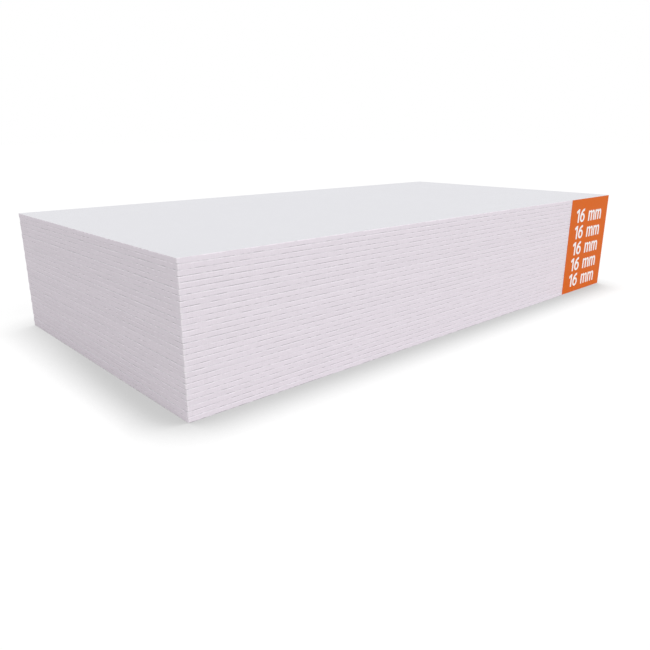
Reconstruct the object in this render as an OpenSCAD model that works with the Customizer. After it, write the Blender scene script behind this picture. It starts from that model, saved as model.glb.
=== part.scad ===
// A stack of fibre cement boards lying flat on each other, with a thickness
// label stuck across the board edges at one end of a long side.
//
// The frame has its origin under the middle of the stack, on the floor.
// X runs along the boards, Y across them and Z up. The label is on the -Y side,
// at the +X end.

/* [Board] */
// Length of one board, along X
board_length = 2400; // [1200:10:3600]
// Width of one board, along Y
board_width = 1200; // [600:10:1300]
// Thickness of one board
board_thickness = 16; // [6:1:20]
// Depth of the small bevel left where the sawn edges meet the faces
arris = 0.8; // [0.2:0.1:1.5]

/* [Stack] */
// Number of boards, the lowest being board_01
board_count = 28; // [1:1:59]
// Most that a board lies out of line at its ends, each way
end_wander = 0.6; // [0:0.1:2]
// Most that a board stands back from the labelled side
side_wander = 0.5; // [0:0.1:2]

/* [Label] */
// Width of the label, along the long side
label_width = 372; // [100:1:600]
// Thickness of the label's coated paper
label_thickness = 0.3; // [0.1:0.1:1]
// Clear strip from the label to the end of the stack and to the floor
label_margin = 2; // [1:1:4]

/* [Hidden] */
stack_height = board_count * board_thickness;
front_y = -board_width / 2;
label_height = stack_height - label_margin - arris;

// Steps of angle that spread the boards' small offsets evenly, with no repeat
end_step = 137.5;
side_step = 222.5;

// Offset of board i along X: to either end of the stack
function end_shift(i) = end_wander * sin(end_step * i);

// Offset of board i along Y: never forward of the labelled side, so that the
// boards which aren't set back all bear on the label
function side_shift(i) = side_wander * max(0, sin(side_step * i));

// Name of board i, with two digits so that the names sort from the bottom up
function board_name(i) = str("board_", i < 10 ? "0" : "", i);

// Outline of a board seen along one of its edges: a flat bar with its four
// corners bevelled. It is centred on X and stands on Y = 0.
module board_profile(span) {
    polygon([
        [-span / 2 + arris, 0],
        [span / 2 - arris, 0],
        [span / 2, arris],
        [span / 2, board_thickness - arris],
        [span / 2 - arris, board_thickness],
        [-span / 2 + arris, board_thickness],
        [-span / 2, board_thickness - arris],
        [-span / 2, arris]
    ]);
}

// One board: what the long profile and the cross profile have in common, which
// leaves a bevel along all four edges of both faces
module board(i) {
    color("#e2dde3")
        translate([end_shift(i), side_shift(i), (i - 1) * board_thickness])
            intersection() {
                rotate([90, 0, 0])
                    linear_extrude(height = board_width, center = true)
                        board_profile(board_length);
                rotate([90, 0, 90])
                    linear_extrude(height = board_length, center = true)
                        board_profile(board_width);
            }
}

// The label: one thin sheet over the edges of all the boards
module thickness_label() {
    color("#d86e34")
        translate([
            board_length / 2 - label_margin - label_width,
            front_y - label_thickness,
            label_margin
        ])
            cube([label_width, label_thickness, label_height]);
}

for (i = [1:board_count])
    board(i);
thickness_label();
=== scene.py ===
# %% [markdown]
# # A stack of fiber cement boards
#
# Fiber cement board is made as a thin wet sheet of cement, sand and cellulose, built up
# in layers on a drum, pressed, cured and then sawn to size. This stack is boards laid
# flat on each other with their sawn edges in line, and one printed label stuck across
# the edges at the end of a long side.
#
# The packed model is the frame for all that follows. It is loaded first, because every
# size and place below is worked out from it. Its box is kept, and the shade on the floor
# is laid out from it.

# %% Load the frame
import math
import random

import bmesh
import bpy
from mathutils import Matrix, Vector
from mathutils.geometry import delaunay_2d_cdt


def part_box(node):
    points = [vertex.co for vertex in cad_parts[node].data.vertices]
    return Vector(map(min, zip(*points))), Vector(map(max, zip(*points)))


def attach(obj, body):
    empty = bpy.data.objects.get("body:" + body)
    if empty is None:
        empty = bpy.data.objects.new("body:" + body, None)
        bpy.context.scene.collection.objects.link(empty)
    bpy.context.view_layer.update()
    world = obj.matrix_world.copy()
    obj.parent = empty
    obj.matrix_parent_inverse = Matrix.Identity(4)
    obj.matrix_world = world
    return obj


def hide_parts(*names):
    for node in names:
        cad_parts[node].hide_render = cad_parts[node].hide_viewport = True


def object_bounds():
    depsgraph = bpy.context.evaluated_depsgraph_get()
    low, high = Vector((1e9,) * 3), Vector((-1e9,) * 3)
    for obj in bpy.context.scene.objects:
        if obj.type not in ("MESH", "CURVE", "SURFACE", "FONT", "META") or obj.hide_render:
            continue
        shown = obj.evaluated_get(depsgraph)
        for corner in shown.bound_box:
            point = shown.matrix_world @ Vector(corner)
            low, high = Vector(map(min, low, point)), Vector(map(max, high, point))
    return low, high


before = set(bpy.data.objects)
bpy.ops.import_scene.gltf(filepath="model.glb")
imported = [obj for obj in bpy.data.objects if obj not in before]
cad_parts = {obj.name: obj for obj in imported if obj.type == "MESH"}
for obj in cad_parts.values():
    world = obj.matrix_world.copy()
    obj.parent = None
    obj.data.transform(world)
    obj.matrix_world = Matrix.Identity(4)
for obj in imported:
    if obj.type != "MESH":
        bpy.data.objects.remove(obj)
cad_low, cad_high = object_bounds()
MM = 0.001
BODY = "root"
board_names = sorted(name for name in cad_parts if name.startswith("board_"))
boards = {name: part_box(name) for name in board_names}
first_low, first_high = boards[board_names[0]]
board_size = first_high - first_low
thickness = board_size.z
stack_top = boards[board_names[-1]][1].z
print(f"{len(boards)} boards of {thickness / MM:.1f} mm, stack {stack_top / MM:.0f} mm high")

# %% [markdown]
# ## Camera
#
# The stack is seen from a little above, through a slightly wide lens. Its near corner
# stands left of the middle, so that the long side runs away to the right and the short
# side to the left. The camera could be aimed at a target, but its height above the floor
# and its slope are what set the perspective, so it is placed from the near corner and
# turned by its heading and slope, in degrees.

# %% Camera
CAMERA_OFFSET = Vector((-0.739, -1.352, 0.742))
HEADING, SLOPE = 47.64, 17.30
LENS = 34.18

near_corner = Vector((-board_size.x / 2, -board_size.y / 2, 0.0))
level = math.radians(90)
across = Matrix.Rotation(math.radians(HEADING) - level, 3, "Z")
downward = Matrix.Rotation(level - math.radians(SLOPE), 3, "X")
camera_data = bpy.data.cameras.new("camera")
camera_data.lens = LENS
camera = bpy.data.objects.new("camera", camera_data)
camera.location = near_corner + CAMERA_OFFSET
camera.rotation_mode = "QUATERNION"
camera.rotation_quaternion = (across @ downward).to_quaternion()
bpy.context.collection.objects.link(camera)
bpy.context.scene.camera = camera
bpy.context.scene.view_settings.view_transform = "Standard"
print("camera", [round(v, 3) for v in camera.location])

# %% [markdown]
# ## Shader sums
#
# A finish is easiest to read as sums: so much cloud, so much grain, darker where the
# joint is. In a material every plus and times is a node of its own, and dozens of them
# set up by hand would hide the sum. The small class below wraps a socket, so that a plain
# Python sum adds those nodes.

# %% Sums on sockets
class Signal:
    """A node's output that takes part in sums as a number would."""

    def __init__(self, finish, socket):
        self.finish = finish
        self.socket = socket

    def _sum(self, operation, first, second):
        return self.finish.node("Math", {"operation": operation}, {0: first, 1: second})

    def __add__(self, other):
        return self._sum("ADD", self, other)

    def __radd__(self, other):
        return self._sum("ADD", other, self)

    def __sub__(self, other):
        return self._sum("SUBTRACT", self, other)

    def __rsub__(self, other):
        return self._sum("SUBTRACT", other, self)

    def __mul__(self, other):
        return self._sum("MULTIPLY", self, other)

    def __rmul__(self, other):
        return self._sum("MULTIPLY", other, self)

    def __truediv__(self, other):
        return self._sum("DIVIDE", self, other)

    def __rtruediv__(self, other):
        return self._sum("DIVIDE", other, self)

    def __gt__(self, other):
        return self._sum("GREATER_THAN", self, other)

    def __lt__(self, other):
        return self._sum("LESS_THAN", self, other)

    def floor(self):
        """The whole number below."""
        return self._sum("FLOOR", self, 0.0)

    def size(self):
        """The number without its sign."""
        return self._sum("ABSOLUTE", self, 0.0)


print("sums that also work with the number first:", [n for n in vars(Signal) if "__r" in n])

# %% [markdown]
# ## A finish and its nodes
#
# A finish is one node tree. Its `node` method adds any node from its type, its settings
# and what goes into its sockets, and gives back an output that can go into a sum. The
# other methods name the few patterns that the finishes below share, so that each of them
# reads as a recipe.

# %% Finishes
class Finish:
    """A node tree for one material or for the world."""

    def __init__(self, owner):
        self.owner = owner
        owner.use_nodes = True
        self.tree = owner.node_tree
        self.tree.nodes.clear()

    def node(self, kind, settings=None, values=None, output=0):
        """Adds a node, sets it up, fills or links its sockets and gives one output."""
        made = self.tree.nodes.new("ShaderNode" + kind)
        for name, value in (settings or {}).items():
            setattr(made, name, value)
        for key, value in (values or {}).items():
            socket = made.inputs[key]
            if isinstance(value, Signal):
                self.tree.links.new(value.socket, socket)
            elif socket.type == "RGBA":
                socket.default_value = (*value, 1.0)
            else:
                socket.default_value = value
        return Signal(self, made.outputs[output]) if len(made.outputs) else None

    def beside(self, signal, names):
        """Other outputs of the node that a signal comes from."""
        outputs = signal.socket.node.outputs
        return [Signal(self, outputs[name]) for name in names]

    def parts(self, vector):
        """The X, Y and Z of a vector, from one node."""
        return self.beside(self.node("SeparateXYZ", values={0: vector}), "XYZ")

    def stretched(self, vector, factors):
        """A vector with each axis times its own factor."""
        settings = {"operation": "MULTIPLY"}
        return self.node("VectorMath", settings, {0: vector, 1: factors})

    def noise(self, vector, scale, detail=2.0):
        """Smooth noise about zero, roughly from -1 to 1."""
        values = {"Vector": vector, "Scale": scale, "Detail": detail}
        return self.node("TexNoise", values=values, output="Fac") * 2.0 - 1.0

    def cells(self, vector, scale):
        """Distance to the middle of the nearest random cell, and that cell's own number."""
        near = self.node("TexVoronoi", values={"Vector": vector, "Scale": scale})
        own_colour = self.beside(near, ["Color"])[0]
        return near, self.parts(own_colour)[0]

    def ramp(self, value, low, high):
        """0 below low, 1 above high and a smooth step between; low may be the larger."""
        settings = {"interpolation_type": "SMOOTHSTEP"}
        values = {"Value": value, "From Min": low, "From Max": high}
        return self.node("MapRange", settings, values)

    def blend(self, first, second, factor):
        """One colour turning into another as factor goes from 0 to 1."""
        # A Mix node has sockets for every kind of value: 6 and 7 are its two colours.
        values = {0: factor, 6: first, 7: second}
        return self.node("Mix", {"data_type": "RGBA"}, values, output=2)

    def toned(self, colour, tone):
        """A colour times a number."""
        return self.node("VectorMath", {"operation": "SCALE"}, {0: colour, "Scale": tone})


def new_finish(name):
    """An empty finish for a new material."""
    return Finish(bpy.data.materials.new(name))


print("patterns to build finishes from:", [n for n in vars(Finish) if "_" not in n])

# %% [markdown]
# ## Fibers, sand and pores
#
# Up close the cement shows what went into it: short cellulose fibers lying in the plane
# of the sheet, grains of dark sand, and tiny pores, most of them on the sawn edges. Image
# textures would need a map for each board, and would blur where the edges are seen close
# to. So each mark is drawn from its place in the stack: space is divided into random
# cells, and some of the cells get a dot or a stretched dot at their middle.

# %% Marks in the cement
FIBERS_PER_METRE = (170.0, 1500.0, 1100.0)
FIBER_TILT = (0.35, 0.2, 1.0)
FIBERLESS_SHARE = 0.76
DOTLESS_SHARE = 0.45


def fiber_marks(finish, place, degrees):
    """Short thin marks lying one way: stretched cells, of which only some are drawn."""
    turned = finish.node(
        "VectorRotate",
        {"rotation_type": "AXIS_ANGLE"},
        {"Vector": place, "Axis": FIBER_TILT, "Angle": math.radians(degrees)},
    )
    near, chance = finish.cells(finish.stretched(turned, FIBERS_PER_METRE), 1.0)
    return finish.ramp(near, 0.36, 0.14) * (chance > FIBERLESS_SHARE)


def dots(finish, place, cells_per_metre, radius):
    """Round dots well apart; radius is a share of a cell, and not every cell has one."""
    near, chance = finish.cells(place, cells_per_metre)
    return finish.ramp(near, radius, radius / 2) * (chance > DOTLESS_SHARE)


print("the cell of a fiber:", [round(1 / (n * MM), 1) for n in FIBERS_PER_METRE], "mm")

# %% [markdown]
# ## The joints
#
# Where two boards meet, the arris above the joint is in shade and holds dust, and the
# arris below it faces up into the light and is rubbed pale. The finish paints both: a line
# of painted shade and dust above the joint, and a line of painted highlight and rubbing
# below it. Both lines come and go, because the boards lie tight in one place and a hair
# apart in the next. Each joint could have a band of its own, but the joints are level and
# evenly spaced. So the height alone tells how far away the nearest one is, and one pattern
# draws them all. A noise stretched along the boards says where a joint is open.

# %% Lines along the joints
# A line of painted shade and dust just above each joint, and one of painted highlight and rubbing
# below it.
SHADE_AND_DUST_ABOVE, SHADE_AND_DUST_SPREAD = 0.7 * MM, 1.8 * MM
SHADE_AND_DUST_LEAST, SHADE_AND_DUST_MORE = 0.025, 0.43
HIGHLIGHT_AND_RUB_BELOW, HIGHLIGHT_AND_RUB_SPREAD, HIGHLIGHT_AND_RUB_SPREAD_AT_ENDS = 1.5 * MM, 1.9 * MM, 0.8 * MM
HIGHLIGHT_AND_RUB_PALENESS, HIGHLIGHT_AND_RUB_MORE_AT_ENDS = 0.185, 0.035
LINE_CORE = 0.4 * MM
GAPS_PER_METRE = (52.0, 74.0, 110.0)
TIGHT_FROM, OPEN_FROM = 0.30, -0.28
FEWER_OPEN_JOINTS_AT_ENDS = 0.14
TOP_BOARD_CLEAR = 4.0 * MM


def line_on_boards(finish, height, middle, half_width):
    """1 on a level line that each board repeats, at a height above the joint below it."""
    away = finish.node("Math", {"operation": "PINGPONG"}, {0: height - middle, 1: thickness / 2})
    return finish.ramp(away, half_width, LINE_CORE)


def joint_marks(finish, place, height, edge, short_end):
    """How much darker painted shade and dust make the edges, and how much paler painted highlight
    and rubbing make them.
    """
    apart = finish.noise(finish.stretched(place, GAPS_PER_METRE), 1.0, 2.0)
    # On the short ends fewer joints count as open.
    apart = apart + finish.noise(place, 9.0) * 0.10 + short_end * FEWER_OPEN_JOINTS_AT_ENDS
    apart = finish.ramp(apart, TIGHT_FROM, OPEN_FROM)
    under_a_board = height < stack_top - TOP_BOARD_CLEAR
    # No painted shade is drawn at the top of the stack, where no board lies above, and it is a
    # little weaker on the short ends.
    shade_and_dust = line_on_boards(finish, height, SHADE_AND_DUST_ABOVE, SHADE_AND_DUST_SPREAD) * under_a_board
    shade_and_dust = shade_and_dust * edge * (apart * SHADE_AND_DUST_MORE + SHADE_AND_DUST_LEAST) * (1.0 - short_end * 0.06)
    # On the short ends the line of painted highlight and rubbing is wider and paler.
    highlight_and_rub_spread = short_end * HIGHLIGHT_AND_RUB_SPREAD_AT_ENDS + HIGHLIGHT_AND_RUB_SPREAD
    highlight_and_rub = line_on_boards(finish, height, -HIGHLIGHT_AND_RUB_BELOW, highlight_and_rub_spread)
    highlight_and_rub = highlight_and_rub * edge * apart * (short_end * HIGHLIGHT_AND_RUB_MORE_AT_ENDS + HIGHLIGHT_AND_RUB_PALENESS)
    return shade_and_dust, highlight_and_rub


print(f"a joint every {thickness / MM:.1f} mm, {len(boards) - 1} in all")

# %% [markdown]
# ## The fiber cement
#
# The faces of a board are pale and cool, because they are pressed and sanded, and the
# sawn edges show the core, which is a little darker and pinker. Over both lie very faint
# clouds from the wet mix and a fine grain, and on the edges the thin layers that the drum
# laid down and the marks of the saw. The tone differs slightly from board to board. An
# image of one board would repeat all the way up the stack, so each of these is a noise,
# stretched to the shape of the mark. The numbers in the sums are shares of the tone: 0.10
# is a tenth lighter or darker.

# %% Tone and colour of the cement
FACE_COLOUR = (0.795, 0.795, 0.829)
EDGE_COLOUR = (0.763, 0.707, 0.764)
FIBER_COLOUR = (0.500, 0.440, 0.390)
SPECK_COLOUR = (0.340, 0.330, 0.340)
# The pale of a chip's bare core, also used for the painted highlight along the arrises and up the
# corners.
WEAR_AND_HIGHLIGHT_COLOUR = (0.880, 0.865, 0.880)
BOARD_TONES = 0.022
BELOW_THE_FACE = 0.5 * MM


def board_tone(finish, height):
    """A tone of its own for each board, from the number of the board at that height."""
    # Looking slightly lower keeps a board's upper face from counting as the next board.
    row = ((height - BELOW_THE_FACE) / thickness).floor()
    chance = finish.node("TexWhiteNoise", {"noise_dimensions": "1D"}, {"W": row + 0.5})
    return (chance - 0.5) * BOARD_TONES


def cement_colour(finish, edge, grain, fibers, sand, pores):
    """The cement of a face or an edge, with the fibers, sand, pores, wear and painted highlight
    laid on it.
    """
    colour = finish.blend(FACE_COLOUR, EDGE_COLOUR, edge)
    colour = finish.blend(colour, FIBER_COLOUR, fibers * 0.34)
    colour = finish.blend(colour, SPECK_COLOUR, sand * 0.50)
    # A pore is painted darker: painted shade in a small hole.
    colour = finish.blend(colour, SPECK_COLOUR, pores * 0.38)
    # Each point carries how pale it is painted: wear in a chip, and a painted highlight on the
    # arrises and corners.
    pale_wear_and_highlight = finish.node("Attribute", {"attribute_name": "pale_wear_and_highlight"}, output="Fac")
    return finish.blend(colour, WEAR_AND_HIGHLIGHT_COLOUR, pale_wear_and_highlight * (grain * 0.8 + 0.75))


print(f"the boards' edges differ in tone by up to {BOARD_TONES:.1%}")

# %% [markdown]
# ## One finish for all the boards
#
# Faces and edges could be two materials, but they meet on a round arris, and there the
# colour should turn as softly as the shape does. So one finish looks at which way the
# surface faces: up or down is a pressed face, and sideways is a sawn edge. Most patterns
# give a tone and a little relief as well. A pore is a hole in the relief, and its dark
# tone is painted shade.

# %% Fiber cement finish
GRAIN_PER_METRE = 1300.0
SANDING_PER_METRE = (7.0, 520.0, 60.0)
LAYERS_PER_METRE = (7.0, 7.0, 820.0)
SAW_MARKS_PER_METRE = (380.0, 380.0, 22.0)
SAND_PER_METRE, SAND_RADIUS = 105.0, 0.062
PORES_PER_METRE, PORE_RADIUS = 310.0, 0.110


def make_fiber_cement():
    """The finish of every board, pressed faces and sawn edges alike."""
    finish = new_finish("fiber_cement")
    place = finish.node("TexCoord", output="Object")
    height = finish.parts(place)[2]
    normal = finish.parts(finish.node("NewGeometry", output="Normal"))
    edge = finish.ramp(normal[2].size(), 0.75, 0.35)
    face = 1.0 - edge
    short_end = finish.ramp(normal[0].size(), 0.5, 0.9)

    clouds = finish.noise(place, 2.3, 3.0) * 0.008 + finish.noise(place, 17.0, 4.0) * 0.010
    grain = finish.noise(place, GRAIN_PER_METRE, 3.0)
    sanding = finish.noise(finish.stretched(place, SANDING_PER_METRE), 1.0, 3.0)
    layers = finish.noise(finish.stretched(place, LAYERS_PER_METRE), 1.0, 3.0)
    saw = finish.noise(finish.stretched(place, SAW_MARKS_PER_METRE), 1.0, 2.0)
    fibers = fiber_marks(finish, place, 12.0) + fiber_marks(finish, place, 78.0)
    sand = dots(finish, place, SAND_PER_METRE, SAND_RADIUS)
    pores = dots(finish, place, PORES_PER_METRE, PORE_RADIUS) * (edge * 0.7 + 0.3)
    shade_and_dust, highlight_and_rub = joint_marks(finish, place, height, edge, short_end)

    tone = 1.0 + clouds + grain * 0.10 + board_tone(finish, height) * edge
    tone = tone + edge * (layers * 0.085 + saw * 0.055) + face * sanding * 0.030
    # The joints' painted highlight with rubbing, and their painted shade with dust.
    tone = tone * (1.0 + highlight_and_rub - shade_and_dust)
    colour = cement_colour(finish, edge, grain, fibers, sand, pores)

    relief = grain * 0.10 + fibers * 0.06 - pores * 0.12 + face * sanding * 0.05
    relief = relief + edge * (layers * 0.10 + saw * 0.09)
    bump = finish.node("Bump", values={"Strength": 0.9, "Distance": 1.0 * MM, "Height": relief})
    values = {
        "Base Color": finish.toned(colour, tone),
        "Roughness": 0.84 + grain * 0.06 + edge * 0.05,
        "Specular IOR Level": 0.25,
        "Normal": bump,
    }
    finish.node("OutputMaterial", values={"Surface": finish.node("BsdfPrincipled", values=values)})
    return finish.owner


fiber_cement = make_fiber_cement()
print("fiber cement:", len(fiber_cement.node_tree.nodes), "nodes")

# %% [markdown]
# ## Once round a board
#
# A sawn board is a plain slab, but its edges tell that it is real: the arris, where a
# face meets the saw cut, is rounded by a fraction of a millimetre and crumbles here and
# there, and the four corners are knocked a little. A box with a Bevel modifier would give
# the same arris all round. So the outline is a row of stations, which lie close together
# only where they are needed: round a corner, and at a chip. Nothing reaches past the box
# of the plain board. The corners come first, each with a radius of its own.

# %% Corners of a board
ARRIS = 0.7 * MM
SAW_WANDER = 0.08 * MM
CORNER_STEPS = 4
# The corners are painted a little pale all the way up: a painted highlight, and a little wear.
CORNER_HIGHLIGHT_AND_WEAR = 0.25
CORNER_KNOCKS = (0.0, 0.0, 0.2, 0.5)
CORNER_ROUNDING = (0.2, 0.8)
UPPER_KNOCK_SHARE = 0.7


def knocked_corners(low, high, chance):
    """The round corners of a board: (centre, radius, knock, first angle)."""
    corners = []
    places = ((high.x, low.y), (high.x, high.y), (low.x, high.y), (low.x, low.y))
    for number, (x, y) in enumerate(places):
        knock = chance.choice(CORNER_KNOCKS) * MM
        radius = ARRIS + knock + 2 * SAW_WANDER + chance.uniform(*CORNER_ROUNDING) * MM
        inward = Vector((-math.copysign(radius, x), -math.copysign(radius, y)))
        corners.append((Vector((x, y)) + inward, radius, knock, number * 90 - 90))
    return corners


trial_corners = knocked_corners(first_low, first_high, random.Random("trial"))
print("corners like", [f"{radius / MM:.2f} mm" for _, radius, _, _ in trial_corners])

# %% [markdown]
# ## Chips along the sides
#
# Between two corners the arris has lost a crumb here and there, from the saw and from
# handling. A chip could be cut with a boolean, but hundreds of those are slow and leave
# thin slivers. Here it is five stations, over which the arris grows to its deepest near
# the middle and comes back. Plain stations fill the rest of the side, just close enough
# for the wander of the saw to look smooth.

# %% Stations round a board
CORNER_REACH = 5.0 * MM
STATION_GAP = 60 * MM
CHIPS_PER_METRE = 4.0
CHIP_DEPTH = 1.1 * MM
HALF_CHIPS = (1.2, 2.0, 3.0, 5.0, 9.0)
CHIP_SHAPE = ((-1, 0), (-0.5, 0.7), (0.1, 1), (0.6, 0.5), (1, 0))
UNCHIPPED = (0.0, 0.0)


def side_stations(first, last, out, chance):
    """Stations along one straight side, close together only where a chip is."""
    length = (last - first).length
    marks = {CORNER_REACH: UNCHIPPED, length - CORNER_REACH: UNCHIPPED}
    count = round(length / STATION_GAP)
    for step in range(1, count):
        marks[length * step / count] = UNCHIPPED
    for _ in range(round(length * CHIPS_PER_METRE)):
        middle = chance.uniform(0.02, 0.98) * length
        half = chance.choice(HALF_CHIPS) * chance.uniform(0.7, 1.3) * MM
        deep = chance.uniform(0.2, 1.0) ** 2 * CHIP_DEPTH
        low_side = chance.random() < 0.5
        for offset, share in CHIP_SHAPE:
            size = deep * share
            marks[middle + offset * half] = (size, 0.0) if low_side else (0.0, size)
    along = (last - first) / length
    return [(first + along * at, out, *marks[at], 0.0) for at in sorted(marks)]


def outline_stations(low, high, chance):
    """Stations round a board: (point, outward direction, lower chip, upper chip, painted corner
    highlight).
    """
    corners = knocked_corners(low, high, chance)
    stations = []
    for number, (centre, radius, knock, start) in enumerate(corners):
        for step in range(CORNER_STEPS + 1):
            angle = math.radians(start + 90 * step / CORNER_STEPS)
            out = Vector((math.cos(angle), math.sin(angle)))
            upper_knock = knock * UPPER_KNOCK_SHARE
            stations.append((centre + out * radius, out, knock, upper_knock, CORNER_HIGHLIGHT_AND_WEAR))
        following, next_radius = corners[(number + 1) % len(corners)][:2]
        first = centre + out * radius
        last = following + out * next_radius
        stations += side_stations(first, last, out, chance)
    return stations


chips_round_board = 2 * (board_size.x + board_size.y) * CHIPS_PER_METRE
print("about", round(chips_round_board), "small chips round each board")

# %% [markdown]
# ## Up the edge
#
# At each station the edge has a profile: a round arris, the sawn edge, and a round arris
# again, with a chip as a larger arris. It is worked out point by point, because each
# point also carries how pale it is painted. The finish paints a chip pale, as its bare
# core is, and every arris a little pale all along, as a painted highlight and a little
# wear.

# %% Edge profile
ARRIS_STEPS = 3
# Every arris is painted a little pale all along: a painted highlight, and a little wear.
ARRIS_HIGHLIGHT_AND_WEAR = 0.30
FULLY_WORN_CHIP = 0.4 * MM
EDGE_ROW = 0.8 * MM


def arris_wear_and_highlight(chip):
    """How pale an arris is painted: a little all along as a painted highlight, and fully so in a
    chip, where the core is bare.
    """
    return max(ARRIS_HIGHLIGHT_AND_WEAR, min(1.0, chip / FULLY_WORN_CHIP))


def board_profile(low_chip, high_chip, height):
    """(inset, height, wear and painted highlight) up a board's edge, from one arris to the other.
    """
    turns = [math.radians(90 * step / ARRIS_STEPS) for step in range(ARRIS_STEPS + 1)]
    low_arris, high_arris = ARRIS + low_chip, ARRIS + high_chip
    points = []
    for turn in turns:
        inset = low_arris * (1 - math.sin(turn))
        points.append((inset, low_arris * (1 - math.cos(turn)), arris_wear_and_highlight(low_chip)))
    points.append((0.0, low_arris + EDGE_ROW, 0.0))
    points.append((0.0, height / 2, 0.0))
    points.append((0.0, height - high_arris - EDGE_ROW, 0.0))
    for turn in reversed(turns):
        inset = high_arris * (1 - math.sin(turn))
        rise = height - high_arris * (1 - math.cos(turn))
        points.append((inset, rise, arris_wear_and_highlight(high_chip)))
    return points


print(len(board_profile(0.0, 0.0, thickness)), "points up the edge")

# %% [markdown]
# ## Over the faces
#
# The two faces are flat. One polygon would fill a face, but with hundreds of corners it
# would be cut into long slivers when the model is exported. So a coarse grid fills it,
# and each station joins on to the grid's nearest border point.

# %% Flat faces
FACE_RIM = 3.5 * MM
MIDDLE_CELLS = (20, 10)


def flat_middle(mesh, low, high, z):
    """The flat part of a face inside its rim, as columns of points joined by quads."""
    across, along = MIDDLE_CELLS
    size = high - low
    grid = []
    for column in range(across + 1):
        x = low.x + FACE_RIM + (size.x - 2 * FACE_RIM) * column / across
        ys = [low.y + FACE_RIM + (size.y - 2 * FACE_RIM) * n / along for n in range(along + 1)]
        grid.append([mesh.verts.new((x, y, z)) for y in ys])
    for left, right in zip(grid, grid[1:]):
        for n in range(along):
            quad = [left[n], right[n], right[n + 1], left[n + 1]]
            mesh.faces.new(quad if z == high.z else quad[::-1])
    return grid


def nearest_rim_point(grid, point, low, high):
    """The point on the grid's border that lies nearest to a point on the outline."""
    shares = ((point.x - low.x) / (high.x - low.x), (point.y - low.y) / (high.y - low.y))
    column, row = [round(share * count) for share, count in zip(shares, MIDDLE_CELLS)]
    return grid[column][row]


print("each face:", MIDDLE_CELLS[0] * MIDDLE_CELLS[1], "quads inside the rim")

# %% [markdown]
# ## The band round a board
#
# The profiles stand round the board like ribs, and neighbouring ribs are joined by a
# strip of quads from one face's grid to the other's. The cut wanders by a hair, so the
# edge moves in and out by less than a fifth of a millimetre. The band could come from a
# curve with a bevel, but that keeps one profile all the way round, and chips change it.

# %% Ribs and strips
SAW_WAVES = 9.0


def edge_ribs(mesh, pale_wear_and_highlight, low, high, chance):
    """One rib of points for each station, from the underside's grid to the upper one's."""
    wander = chance.uniform(0, 2 * math.pi)
    underside = flat_middle(mesh, low, high, low.z)
    upper_face = flat_middle(mesh, low, high, high.z)
    ribs = []
    for point, out, low_chip, high_chip, highlight_and_rub in outline_stations(low, high, chance):
        cut = SAW_WANDER * (1 + math.sin(SAW_WAVES * (point.x + point.y) + wander))
        rib = [nearest_rim_point(underside, point, low, high)]
        for inset, z, edge_wear_and_highlight in board_profile(low_chip, high_chip, high.z - low.z):
            at = point - out * (inset + cut)
            vert = mesh.verts.new((at.x, at.y, low.z + z))
            # Painted pale for wear in a chip, and as a painted highlight on the arrises and
            # corners.
            vert[pale_wear_and_highlight] = max(edge_wear_and_highlight, highlight_and_rub)
            rib.append(vert)
        rib.append(nearest_rim_point(upper_face, point, low, high))
        ribs.append(rib)
    return ribs


def add_edge(mesh, ribs):
    """Joins the ribs. Only the arrises and the sawn edge are smooth, not the faces."""
    last_row = len(ribs[0]) - 2
    for rib, following in zip(ribs, ribs[1:] + ribs[:1]):
        for row in range(last_row + 1):
            strip = (rib[row], following[row], following[row + 1], rib[row + 1])
            # Neighbours may share a grid point, which turns the quad into a triangle.
            side = mesh.faces.new(dict.fromkeys(strip))
            side.smooth = 0 < row < last_row


print(f"the cut wanders by {2 * SAW_WANDER / MM:.2f} mm")

# %% [markdown]
# ## The boards
#
# A board is its two faces and the band between them, closed all round. One mesh could be
# used for all the boards, but then every chip would sit above the one below it. So each
# board has random numbers of its own, drawn from its name, and comes out the same at
# every run and unlike the others. It takes the place of its plain board in the frame.

# %% Boards
def finished_piece(name, mesh, materials, node):
    """Makes an object of a mesh and ties it to the frame in its node's place."""
    data = bpy.data.meshes.new(name)
    mesh.to_mesh(data)
    mesh.free()
    piece = bpy.data.objects.new(name, data)
    bpy.context.collection.objects.link(piece)
    for material in materials:
        data.materials.append(material)
    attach(piece, BODY)
    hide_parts(node)
    return piece


def make_board(name, low, high):
    """One board as a closed mesh in its own box."""
    mesh = bmesh.new()
    # How pale each point is painted: wear, and a painted highlight.
    pale_wear_and_highlight = mesh.verts.layers.float.new("pale_wear_and_highlight")
    add_edge(mesh, edge_ribs(mesh, pale_wear_and_highlight, low, high, random.Random(name)))
    return finished_piece(name + "_sawn", mesh, [fiber_cement], name)


stack = [make_board(name, low, high) for name, (low, high) in boards.items()]
faces = sum(len(board.data.polygons) for board in stack)
print(f"{len(stack)} boards, {faces} faces, {len(stack[0].data.vertices)} points in the first")

# %% [markdown]
# ## The numbers on the label
#
# The label gives the boards' thickness, in heavy upright figures. They could be a text
# object, but then the print would float in front of the paper. Here each figure is an
# outline of straight strokes and arcs, in millimetres, and the outlines are set a little
# narrower and cut into the label's own surface, so that print and paper are one sheet.

# %% Figure outlines
STROKE = 13.6
FIGURE_HEIGHT = 63.0


def arc(centre, radii, start, end, steps):
    """Points on part of an ellipse, from one angle to another in degrees."""
    points = []
    for step in range(steps + 1):
        angle = math.radians(start + (end - start) * step / steps)
        x = centre[0] + radii[0] * math.cos(angle)
        y = centre[1] + radii[1] * math.sin(angle)
        points.append((x, y))
    return points


def figure_one():
    """A stem with a flag, 32 wide."""
    right = 32.0
    stem = right - STROKE
    foot = [(stem, 0.0), (right, 0.0)]
    top = [(right, FIGURE_HEIGHT), (stem + 2.0, FIGURE_HEIGHT)]
    flag = [(0.5, 53.0), (4.5, 42.5), (stem, 49.0)]
    return [foot + top + flag]


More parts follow.
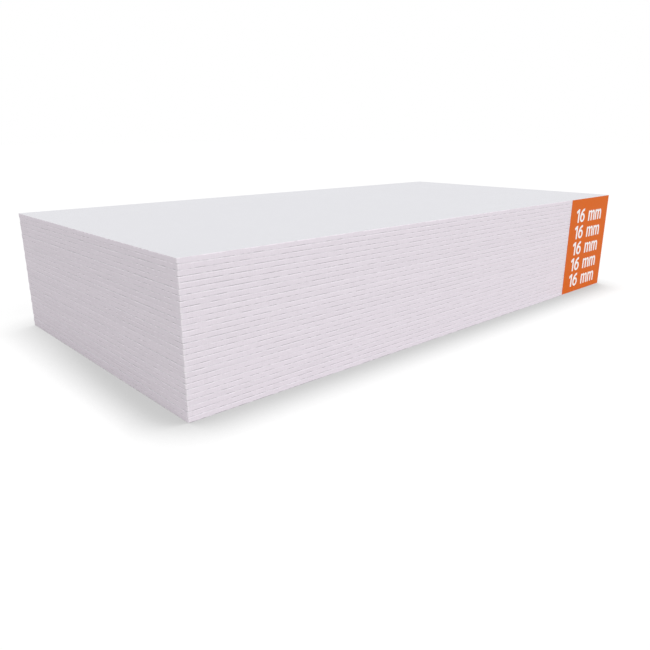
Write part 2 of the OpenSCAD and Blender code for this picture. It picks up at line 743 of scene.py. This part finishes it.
def figure_six():
    """A bowl with a spine that bends over to the right, 49 wide."""
    spine_outside = arc((43.0, 24.0), (43.0, 39.0), 90, 180, 14)
    bowl_below = arc((24.5, 22.0), (24.5, 22.0), 180, 360, 20)[1:]
    bowl_above = arc((24.5, 22.0), (24.5, 20.0), 0, 101.5, 12)[1:]
    spine_inside = arc((43.0, 30.0), (27.5, 22.0), 148, 90, 8)
    counter = arc((24.7, 21.2), (24.7 - STROKE, 11.8), 0, 345, 23)
    return [spine_outside + bowl_below + bowl_above + spine_inside, counter]


def letter_m():
    """Three stems under two arches, 68 wide and 50 high."""
    stem, step = 13.0, 27.5
    hollow = (step - stem) / 2
    outline = [(0.0, 0.0)]
    for left in (0.0, step):
        outline.append((left + stem, 0.0))
        outline += arc((left + stem + hollow, 32.0), (hollow, 8.5), 180, 0, 8)
        outline.append((left + step, 0.0))
    outline.append((2 * step + stem, 0.0))
    outline += arc((52.0, 33.0), (16.0, 17.0), 0, 142, 14)
    outline += arc((26.4, 33.0), (14.1, 17.0), 40, 140, 12)
    return [outline + [(12.5, 49.0), (0.0, 49.0)]]


figures = {"1": figure_one(), "6": figure_six(), "m": letter_m()}
print({name: sum(len(outline) for outline in outlines) for name, outlines in figures.items()})

# %% [markdown]
# ## Setting the print
#
# The same line is set five times, one under the other, with its right end the same
# distance from the label's edge. Each figure starts at a place along the line that was
# chosen one by one, because even gaps between boxes never look even between letters.

# %% Rows of print
LINE_OF_PRINT = (("1", 0.0), ("6", 38.0), ("m", 122.0), ("m", 191.5))
CONDENSED = 0.92
TEXT_WIDTH = 254.0 * MM
ROWS = 5
ROW_PITCH = 77.4 * MM
TOP_MARGIN = 46.5 * MM
RIGHT_MARGIN = 62.5 * MM


def text_row(left, base):
    """The outlines of one row of print, in metres."""
    row = []
    for name, start in LINE_OF_PRINT:
        for outline in figures[name]:
            row.append([(left + (start + x * CONDENSED) * MM, base + y * MM) for x, y in outline])
    return row


def print_rows(high):
    """The outlines of all the print, set from the label's upper right corner."""
    left = high.x - RIGHT_MARGIN - TEXT_WIDTH
    outlines = []
    for row in range(ROWS):
        base = high.z - TOP_MARGIN - FIGURE_HEIGHT * MM - row * ROW_PITCH
        outlines += text_row(left, base)
    return outlines


label_low, label_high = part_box("thickness_label")
print_outlines = print_rows(label_high)
print(len(print_outlines), "outlines in", ROWS, "rows")

# %% [markdown]
# ## The label's finishes
#
# The label is coated paper printed all over in orange, with the numbers left white. It
# is smoother than the board and has a soft sheen. The ink lies a little unevenly, and a
# fine paper grain shows in the sheen. One finish could hold both colours and a mask, but
# the numbers are cut into the mesh, so two plain finishes give them sharper edges. Both
# come from one recipe.

# %% Label finishes
LABEL_ORANGE = (0.690, 0.133, 0.008)
LABEL_WHITE = (0.900, 0.890, 0.890)
FLECKS_PER_METRE = 420.0
CLOUDS_PER_METRE = 26.0


def make_print(name, colour):
    """Coated paper in one colour of ink."""
    finish = new_finish(name)
    place = finish.node("TexCoord", output="Object")
    fleck = finish.noise(place, FLECKS_PER_METRE, 3.0)
    cloud = finish.noise(place, CLOUDS_PER_METRE, 3.0)
    inked = finish.toned(colour, 1.0 + fleck * 0.018 + cloud * 0.014)
    bump = finish.node("Bump", values={"Strength": 0.35, "Distance": 0.2 * MM, "Height": fleck})
    values = {
        "Base Color": inked,
        "Roughness": 0.5 + fleck * 0.05 + cloud * 0.03,
        "Specular IOR Level": 0.10,
        "Normal": bump,
    }
    finish.node("OutputMaterial", values={"Surface": finish.node("BsdfPrincipled", values=values)})
    return finish.owner


label_finishes = [make_print("label_orange", LABEL_ORANGE), make_print("label_white", LABEL_WHITE)]
print([material.name for material in label_finishes])

# %% [markdown]
# ## Lines in the label
#
# A paper label pressed onto the edges of the boards takes on a trace of the joints
# beneath. So three kinds of line run through the sheet: its own outline with small round
# corners, the outlines of the print, and a line on each joint with one above and one
# below it, between which the paper will dip.

# %% Outline, print and joints
CORNER_RADIUS = 1.5 * MM
DIP_REACH = 1.6 * MM
JOINT_CLEAR = 4.0 * MM


def sheet_outline(low, high):
    """A rectangle with small round corners, as (x, z) points."""
    r = CORNER_RADIUS
    outline = []
    for x, z, start in (
        (high.x - r, low.z + r, -90),
        (high.x - r, high.z - r, 0),
        (low.x + r, high.z - r, 90),
        (low.x + r, low.z + r, 180),
    ):
        outline += arc((x, z), (r, r), start, start + 90, 4)
    return outline


def sheet_lines(low, high, joints):
    """All the points of the label's lines, and the pairs of them that are joined."""
    points, edges = [], []
    for outline in [sheet_outline(low, high)] + print_outlines:
        first = len(points)
        points += outline
        count = len(outline)
        edges += [(first + n, first + (n + 1) % count) for n in range(count)]
    for joint in joints:
        for shift in (-DIP_REACH, 0.0, DIP_REACH):
            edges.append((len(points), len(points) + 1))
            points += [(low.x, joint + shift), (high.x, joint + shift)]
    return points, edges


board_tops = [high.z for _, high in boards.values()]
label_span = (label_low.z + JOINT_CLEAR, label_high.z - JOINT_CLEAR)
label_joints = [top for top in board_tops if label_span[0] < top < label_span[1]]
print(len(label_joints), "joints behind the label")

# %% [markdown]
# ## The printed front
#
# The sheet is filled with triangles between those lines by a constrained Delaunay
# triangulation, which keeps every line as edges of the mesh. A point inside an odd number
# of the print's outlines is white, so the counter of a 6 stays orange. The front also
# dips a tenth of a millimetre at the joints.

# %% Front of the label
JOINT_DIP = 0.10 * MM
SAME_POINT = 1e-7


def is_inside(point, outlines):
    """True if the point lies inside an odd number of the outlines."""
    x, z = point
    inside = False
    for outline in outlines:
        for (x1, z1), (x2, z2) in zip(outline, outline[1:] + outline[:1]):
            if (z1 > z) != (z2 > z) and x < x1 + (z - z1) / (z2 - z1) * (x2 - x1):
                inside = not inside
    return inside


def add_front(mesh, low, high, joints):
    """The printed side, with its white triangles in the second material."""
    points, edges = sheet_lines(low, high, joints)
    filled = delaunay_2d_cdt([Vector(point) for point in points], edges, [], 0, SAME_POINT)
    places, triangles = filled[0], filled[2]
    verts = []
    for x, z in places:
        near = min(abs(z - joint) for joint in joints)
        dip = JOINT_DIP * max(0.0, 1 - near / DIP_REACH)
        verts.append(mesh.verts.new((x, low.y + dip, z)))
    for triangle in triangles:
        face = mesh.faces.new([verts[n] for n in triangle])
        middle = [sum(places[n][axis] for n in triangle) / 3 for axis in (0, 1)]
        face.material_index = int(is_inside(middle, print_outlines))
    mesh.normal_update()


print(f"the paper dips by {JOINT_DIP / MM:.1f} mm at a joint")

# %% [markdown]
# ## The label
#
# The paper is 0.3 mm thick. A Solidify modifier would give it a back with every line of
# the front in it, which nobody sees. So only the border is copied, in the plane of the
# boards: a narrow strip joins the two borders, and one flat polygon closes the back.

# %% Rim and back of the label
def front_rim(mesh):
    """The points round the border of the front, in order."""
    following = {}
    for edge in mesh.edges:
        if edge.is_boundary:
            corner = edge.link_loops[0]
            following[corner.vert] = corner.link_loop_next.vert
    rim = [next(iter(following))]
    while len(rim) < len(following):
        rim.append(following[rim[-1]])
    return rim


def add_rim_and_back(mesh, back_y):
    """Joins the front's border to a copy of it on the boards, and closes the sheet there."""
    rim = front_rim(mesh)
    behind = [mesh.verts.new((vert.co.x, back_y, vert.co.z)) for vert in rim]
    for n in range(len(rim)):
        mesh.faces.new((rim[n - 1], behind[n - 1], behind[n], rim[n]))
    mesh.faces.new(behind)
    bmesh.ops.recalc_face_normals(mesh, faces=mesh.faces)


def make_label(low, high):
    """The label as one closed sheet with the print in its surface."""
    mesh = bmesh.new()
    add_front(mesh, low, high, label_joints)
    add_rim_and_back(mesh, high.y)
    name = "printed_label"
    return finished_piece(name, mesh, label_finishes, "thickness_label")


label = make_label(label_low, label_high)
white = sum(face.material_index for face in label.data.polygons)
print(f"label: {len(label.data.polygons)} faces, {white} of them white")

# %% [markdown]
# ## The shade round the stack
#
# Close to the boards the floor sees less of the room, and the Ambient Occlusion node
# measures how much: that is the soft shadow of an overcast light, painted into the floor's
# colour. A lamp alone would draw a shadow with a direction and an end instead. The node
# looks up along a line that leans to the right, which makes the painted shade fuller on
# the left, and the shade is painted weaker towards the back.

# %% Shade on the floor
FLOOR_SEEN = 1.025
SHADE_REACH = 165 * MM
SHADE_LEAN = (0.30, 0.0, 1.0)
SHADE_IN_FRONT, SHADE_AT_BACK = 0.95, 0.48
DARKEST, DARKEST_SOFTNESS = 0.61, 0.12


def floor_brightness(finish):
    """How bright the camera sees the floor: white, and shaded close to the boards."""
    # The node takes a direction only through a link, so the lean is a node as well.
    lean = finish.node("VectorMath", {"operation": "NORMALIZE"}, {0: SHADE_LEAN})
    looking = {"Distance": SHADE_REACH, "Normal": lean}
    openness = finish.node("AmbientOcclusion", {"samples": 16}, looking, output="AO")
    # The painted shade is weaker towards the back.
    across_floor = finish.parts(finish.node("TexCoord", output="Object"))[1]
    behind = finish.ramp(across_floor, cad_low.y, cad_high.y)
    fullness = SHADE_IN_FRONT + (SHADE_AT_BACK - SHADE_IN_FRONT) * behind
    openness = 1.0 - (1.0 - openness) * fullness
    levels = {0: openness * FLOOR_SEEN, 1: DARKEST, 2: DARKEST_SOFTNESS}
    return finish.node("Math", {"operation": "SMOOTH_MAX"}, levels)


print(f"shade up to {SHADE_REACH / MM:.0f} mm from the stack")

# %% [markdown]
# ## Floor
#
# The stack lies on a plain white floor that shows nothing but that shade. A floor as
# bright as white paper would still come out grey under plain light, and more light would
# bleach the boards. So only the camera sees the floor as bright as paper, while the boards
# get its ordinary bounce. A part of what the camera sees is still true lighting, which
# keeps the lamp's own shadow.

# %% Floor
FLOOR_BOUNCE = (0.80, 0.80, 0.80)
FLOOR_WHITE = (1.0, 1.0, 1.0)
FLOOR_REACH = 40.0
LIT_SHARE = 0.15


def make_floor_finish():
    """White to the camera, with the stack's shade, and plain pale grey to the boards."""
    finish = new_finish("studio_floor")
    bounce = finish.node("BsdfDiffuse", values={"Color": FLOOR_BOUNCE})
    seen_colour = finish.toned(FLOOR_WHITE, floor_brightness(finish))
    even = finish.node("Emission", values={"Color": seen_colour, "Strength": 1.0})
    lit = finish.node("BsdfDiffuse", values={"Color": seen_colour})
    seen = finish.node("MixShader", values={0: LIT_SHARE, 1: even, 2: lit})
    by_camera = finish.node("LightPath", output="Is Camera Ray")
    both = finish.node("MixShader", values={0: by_camera, 1: bounce, 2: seen})
    finish.node("OutputMaterial", values={"Surface": both})
    return finish.owner


floor_corners = [(-1, -1), (1, -1), (1, 1), (-1, 1)]
floor_points = [(x * FLOOR_REACH, y * FLOOR_REACH, 0) for x, y in floor_corners]
floor_data = bpy.data.meshes.new("studio_floor")
floor_data.from_pydata(floor_points, [], [(0, 1, 2, 3)])
floor_data.materials.append(make_floor_finish())
floor = bpy.data.objects.new("studio_floor", floor_data)
bpy.context.collection.objects.link(floor)
print(f"floor {2 * FLOOR_REACH:.0f} m across")

# %% [markdown]
# ## Light
#
# Lamps alone would leave hard shadows on the floor and one side of the stack dark. So
# most of the light is a bright even room, which the world gives. Rays that only look at
# the room, or see it in a reflection, find it plain white. One large soft lamp, high up
# in front and slightly to the right, makes the long side lighter than the short one.

# %% World and lamp
ROOM_COLOUR = (1.0, 1.0, 1.0)
ROOM_LIGHT, ROOM_SEEN = 0.756, 1.0
LAMP_FROM = Vector((0.10, -0.70, 0.72))
LAMP_STRENGTH = 1.0
LAMP_SPREAD = 30.0


def make_world():
    """An even room: white where it is seen, and a little dimmer as a light."""
    world = bpy.data.worlds.new("bright_room")
    bpy.context.scene.world = world
    finish = Finish(world)
    by_camera = finish.node("LightPath", output="Is Camera Ray")
    glossy, through = finish.beside(by_camera, ["Is Glossy Ray", "Is Transmission Ray"])
    seen = by_camera + glossy + through > 0.5
    strength = ROOM_LIGHT + (ROOM_SEEN - ROOM_LIGHT) * seen
    light = finish.node("Background", values={"Color": ROOM_COLOUR, "Strength": strength})
    finish.node("OutputWorld", values={"Surface": light})


def make_lamp():
    """A far lamp, with soft shadows because it is spread over part of the sky."""
    lamp_data = bpy.data.lights.new("soft_lamp", "SUN")
    lamp_data.energy = LAMP_STRENGTH
    lamp_data.angle = math.radians(LAMP_SPREAD)
    lamp = bpy.data.objects.new("soft_lamp", lamp_data)
    lamp.rotation_euler = (-LAMP_FROM).to_track_quat("-Z", "Y").to_euler()
    bpy.context.collection.objects.link(lamp)
    return lamp


make_world()
lamp = make_lamp()
print("lamp turned by", [round(math.degrees(angle)) for angle in lamp.rotation_euler])
